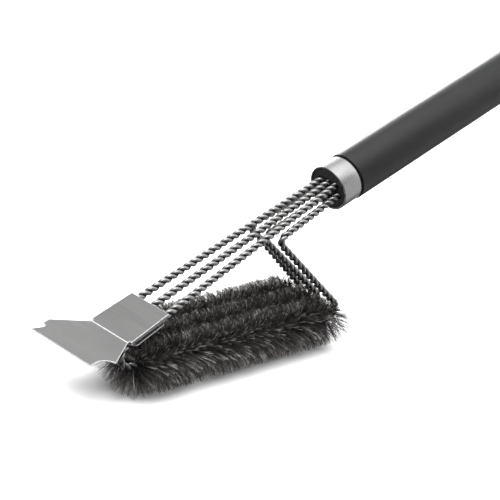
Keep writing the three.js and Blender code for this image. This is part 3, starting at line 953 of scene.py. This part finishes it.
def add_screw(steel):
    """A pan-head screw from below, with a cross recess."""
    downward = Matrix.Rotation(math.pi / 2 - HANDLE_TILT, 4, "Y")
    place = Matrix.Translation(from_handle(SCREW_AT, 0, 0)) @ downward
    tip = 5 * MM
    seat = COLLAR_RADIUS + GAP
    head = 2.8 * MM
    rim, crown = 0.7 * MM, 0.9 * MM
    profile = [(tip, 0), (tip, PIN_RADIUS), (seat, PIN_RADIUS), (seat, head), (seat + rim, head)]
    for i in range(1, 7):
        angle = math.pi / 2 * i / 6
        x = seat + rim + crown * math.sin(angle)
        profile.append((x, head * math.cos(angle) if i < 6 else 0))
    piece = turned("cap_screw_pan_head", profile, False, 48, place)
    recess = []
    for width, depth in ((0.5 * MM, 3.2 * MM), (3.2 * MM, 0.5 * MM)):
        bpy.ops.mesh.primitive_cube_add(size=1)
        cutter = bpy.context.object
        cutter.data.transform(Matrix.Diagonal((2 * MM, width, depth, 1)))
        cutter.data.transform(place @ Matrix.Translation((seat + 1.8 * MM, 0, 0)))
        recess.append(cutter)
    combine(piece, recess, "DIFFERENCE")
    smooth(piece.data, 30)
    finish_piece(piece, [steel], "brush", "inner_steel", "end_cap_screw")


def add_eyelet_and_ring(steel, ring_steel):
    across = Matrix.Translation(from_handle(EYE_AT, 0, 0)) @ Matrix.Rotation(math.pi / 2, 4, "Z")
    corners = [
        (-LUG_HALF, EYELET_BORE),
        (-LUG_HALF, EYELET_RADIUS),
        (LUG_HALF, EYELET_RADIUS),
        (LUG_HALF, EYELET_BORE),
    ]
    eyelet = turned("lug_eyelet", rounded(corners, 0.3 * MM), True, 64, across)
    smooth(eyelet.data)
    finish_piece(eyelet, [steel], "brush", "inner_steel", "ring_eyelet")
    low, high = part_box("hanging_ring")
    wire = (high.x - low.x) / 2
    radius = (high.y - low.y) / 2 - wire
    angles = np.linspace(0, 2 * math.pi, 25)[:-1]
    section = [(wire * math.sin(t), radius + wire * math.cos(t)) for t in angles]
    ring = turned("ring_of_wire", section, True, 128, Matrix.Translation((low + high) / 2))
    smooth(ring.data, 60)
    finish_piece(ring, [ring_steel], "ring", "collar_steel", "hanging_ring")


def paint_inner_nodes(steel, plastic):
    """The pieces inside the handle keep their CAD shape."""
    for node in ("inner_tube", "anchor_pin_front", "anchor_pin_rear"):
        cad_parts[node].data.materials.clear()
        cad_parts[node].data.materials.append(steel)
    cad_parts["anchor_block"].data.materials.clear()
    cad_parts["anchor_block"].data.materials.append(plastic)


# ---- Stage --------------------------------------------------------------------------------------
def add_floor():
    half = 12.0
    corners = [(-half, -half, 0), (half, -half, 0), (half, half, 0), (-half, half, 0)]
    floor = new_object("pale_floor", mesh_from("pale_floor", corners, [[0, 1, 2, 3]]))
    floor.location.z = -0.1 * MM
    floor.data.materials.append(floor_look())
    floor.visible_glossy = False


def add_wall():
    """A pale round wall far behind everything, which only the camera sees."""
    radius, height = 11.0, 8.0
    upright = Matrix.Rotation(-math.pi / 2, 4, "Y")
    wall = turned("pale_wall", [(0, radius), (height, radius)], False, 64, upright)
    look = Look("pale_wall", Base_Color=(0, 0, 0, 1), Emission_Strength=1.0)
    wash = look.noise(look.place((0.5, 0.5, 0.5)))
    look.drive("Emission Color", look.ramp(wash, (0.3, (0.90,) * 3), (0.7, (0.93,) * 3)))
    wall.data.materials.append(look.material)
    wall.visible_glossy = False
    wall.visible_diffuse = False
    wall.visible_shadow = False


def aimed(azimuth, elevation):
    """The turn that points a light's beam at the brush from that side."""
    turn = Matrix.Rotation(math.radians(azimuth), 4, "Z")
    return turn @ Matrix.Rotation(math.radians(90 - elevation), 4, "X")


def add_sun(name, azimuth, elevation, strength, angle):
    data = bpy.data.lights.new(name, "SUN")
    data.energy = strength
    data.angle = math.radians(angle)
    light = bpy.data.objects.new(name, data)
    light.matrix_world = aimed(azimuth, elevation)
    light.visible_glossy = False
    bpy.context.scene.collection.objects.link(light)


def add_softbox(name, azimuth, elevation, distance, width, height, power):
    data = bpy.data.lights.new(name, "AREA")
    data.energy = power
    data.shape = "RECTANGLE"
    data.size = width
    data.size_y = height
    light = bpy.data.objects.new(name, data)
    light.visible_camera = False
    middle = Matrix.Translation(from_handle(0, 0, 0))
    light.matrix_world = middle @ aimed(azimuth, elevation) @ Matrix.Translation((0, 0, distance))
    bpy.context.scene.collection.objects.link(light)


def add_world():
    """A studio: a bright ceiling with a lamp in it, a backdrop behind the brush and a panel beside
    the handle. The brightest of them counts in each direction."""
    world = bpy.data.worlds.new("studio")
    bpy.context.scene.world = world
    world.use_nodes = True
    nodes, links = world.node_tree.nodes, world.node_tree.links
    direction = nodes.new("ShaderNodeTexCoord").outputs["Generated"]

    def level(axis, *stops):
        """Light by how far a direction points along the axis, from -1 to 1."""
        along = nodes.new("ShaderNodeVectorMath")
        along.operation = "DOT_PRODUCT"
        along.inputs[1].default_value = axis
        links.new(direction, along.inputs[0])
        share = nodes.new("ShaderNodeMapRange")
        share.inputs["From Min"].default_value = -1
        links.new(along.outputs["Value"], share.inputs["Value"])
        ramp = nodes.new("ShaderNodeValToRGB")
        elements = ramp.color_ramp.elements
        while len(elements) < len(stops):
            elements.new(0.5)
        for element, (place, value) in zip(elements, stops):
            element.position = (place + 1) / 2
            element.color = (value, value, value, 1)
        links.new(share.outputs["Result"], ramp.inputs["Fac"])
        return ramp.outputs["Color"]

    dim = [(-1, 0.03), (-0.5, 0.08), (0.1, 0.11)]
    ceiling = level((0, 0, 1), *dim, (0.45, 0.20), (0.75, 0.5), (0.93, 1.1))
    backdrop = level((0.5, 0.866, 0), (0.45, 0.0), (0.7, 0.5), (0.85, 0.8))
    side = level((0.78, -0.62, 0), (0.6, 0.0), (0.85, 0.42))
    lamp = level((-0.35, -0.1, 0.93), (0.87, 0.0), (0.96, 2.2))
    total = ceiling
    for panel in (backdrop, side, lamp):
        brighter = nodes.new("ShaderNodeVectorMath")
        brighter.operation = "MAXIMUM"
        links.new(total, brighter.inputs[0])
        links.new(panel, brighter.inputs[1])
        total = brighter.outputs["Vector"]
    links.new(total, nodes["Background"].inputs["Color"])


def build():
    add_camera()
    wire = wire_look()
    bristle = bristle_look()
    for phase, (name, side) in enumerate(SIDES.items()):
        points, marks = wire_route(side)
        line = Line(points, marks, phase * 0.7)
        add_wire(name, line, wire)
        add_bristles(name, side, line, bristle)
    sheet, edge = sheet_look(), painted_highlight_edge_look()
    add_sheet("scraper_sheet", "scraper_blade", BLADE_EDGE, sheet, edge)
    add_sheet("back_plate_sheet", "clamp_back_plate", BACK_PLATE_EDGE, sheet, edge)
    collar_steel = turned_steel_look("collar_steel", 0.62, 0.84, 0.20)
    inner_steel = turned_steel_look("inner_steel", 0.42, 0.60, 0.36)
    black_plastic = moulded_look("black_plastic", 0.014, 0.45, 3200)
    black_rubber = moulded_look("black_rubber", 0.010, 0.65, 5200)
    add_collars(collar_steel, black_rubber)
    add_grip(grip_look())
    add_bushing(black_plastic)
    add_end_cap(black_plastic)
    add_screw(inner_steel)
    add_eyelet_and_ring(inner_steel, collar_steel)
    paint_inner_nodes(inner_steel, black_plastic)
    add_floor()
    add_wall()
    add_world()
    add_sun("top_light", azimuth=-130, elevation=80, strength=5.6, angle=95)
    add_softbox("side_light", azimuth=62, elevation=36, distance=1.6, width=0.9, height=1.1, power=1.6)
    add_softbox("rim_light", azimuth=141, elevation=9, distance=1.2, width=0.6, height=0.42, power=3.6)
    bpy.context.scene.view_settings.view_transform = "Standard"


build()
